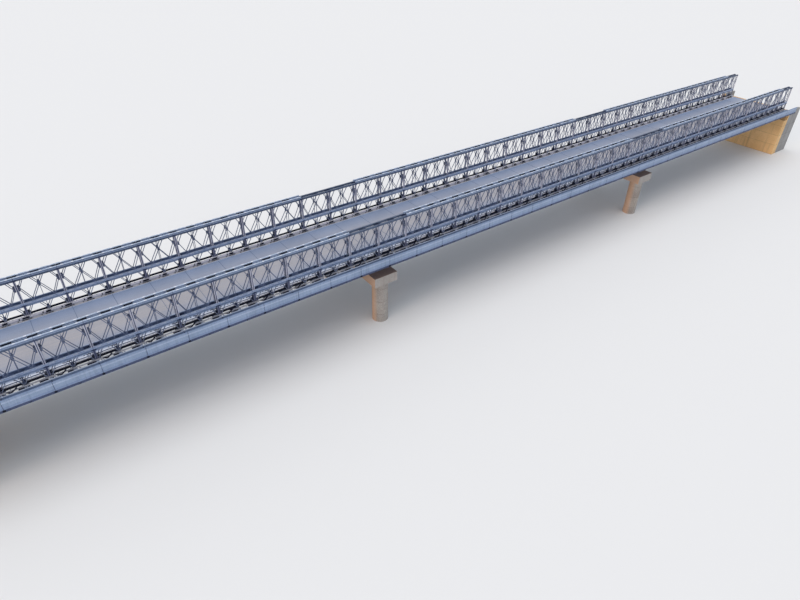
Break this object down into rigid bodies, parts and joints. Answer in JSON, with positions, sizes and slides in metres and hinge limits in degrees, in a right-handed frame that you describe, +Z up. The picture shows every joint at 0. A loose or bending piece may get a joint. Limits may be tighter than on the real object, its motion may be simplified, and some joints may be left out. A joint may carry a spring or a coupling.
{
  "type": "truss road bridge, scale model at 1:10",
  "caption": "Road bridge of galvanised steel panel trusses in two storeys, with a steel deck, a footway on one side, round concrete piers with crossheads, and concrete abutments.",
  "frame": {"origin": "at the left end of the trusses, on the centreline of the roadway, at the level of the water round the piers", "axes": "+X along the bridge towards its right end, +Y across it away from the footway, +Z up"},
  "size_m": [11.9616, 1.187, 1.036],
  "materials": {
    "galvanised_steel": "weathered galvanised",
    "deck_steel": "dusty non-slip",
    "kerb_steel": "weathered",
    "footway_steel": "satin",
    "bearing_steel": "matte",
    "concrete": "board-marked and weathered"
  },
  "bodies": {
    "root": {"abutment_bearings": "bearing_steel", "far_bottom_reinforcement": "galvanised_steel", "far_kerb": "kerb_steel", "far_top_reinforcement": "galvanised_steel", "footway_brackets": "footway_steel", "footway_floor": "footway_steel", "footway_parapet": "footway_steel", "left_abutment": "concrete", "left_deck": "deck_steel", "left_far_chords": "galvanised_steel", "left_far_diagonals": "galvanised_steel", "left_far_posts": "galvanised_steel", "left_far_wing_wall": "concrete", "left_near_chords": "galvanised_steel", "left_near_diagonals": "galvanised_steel", "left_near_posts": "galvanised_steel", "left_near_wing_wall": "concrete", "left_pier_crosshead": "concrete", "left_pier_far_column": "concrete", "left_pier_near_column": "concrete", "left_transoms": "galvanised_steel", "middle_deck": "deck_steel", "middle_far_chords": "galvanised_steel", "middle_far_diagonals": "galvanised_steel", "middle_far_posts": "galvanised_steel", "middle_near_chords": "galvanised_steel", "middle_near_diagonals": "galvanised_steel", "middle_near_posts": "galvanised_steel", "middle_transoms": "galvanised_steel", "near_bottom_reinforcement": "galvanised_steel", "near_kerb": "kerb_steel", "near_top_reinforcement": "galvanised_steel", "pier_bearings": "bearing_steel", "right_abutment": "concrete", "right_deck": "deck_steel", "right_far_chords": "galvanised_steel", "right_far_diagonals": "galvanised_steel", "right_far_posts": "galvanised_steel", "right_far_wing_wall": "concrete", "right_near_chords": "galvanised_steel", "right_near_diagonals": "galvanised_steel", "right_near_posts": "galvanised_steel", "right_near_wing_wall": "concrete", "right_pier_crosshead": "concrete", "right_pier_far_column": "concrete", "right_pier_near_column": "concrete", "right_transoms": "galvanised_steel"}
  },
  "joints": []
}
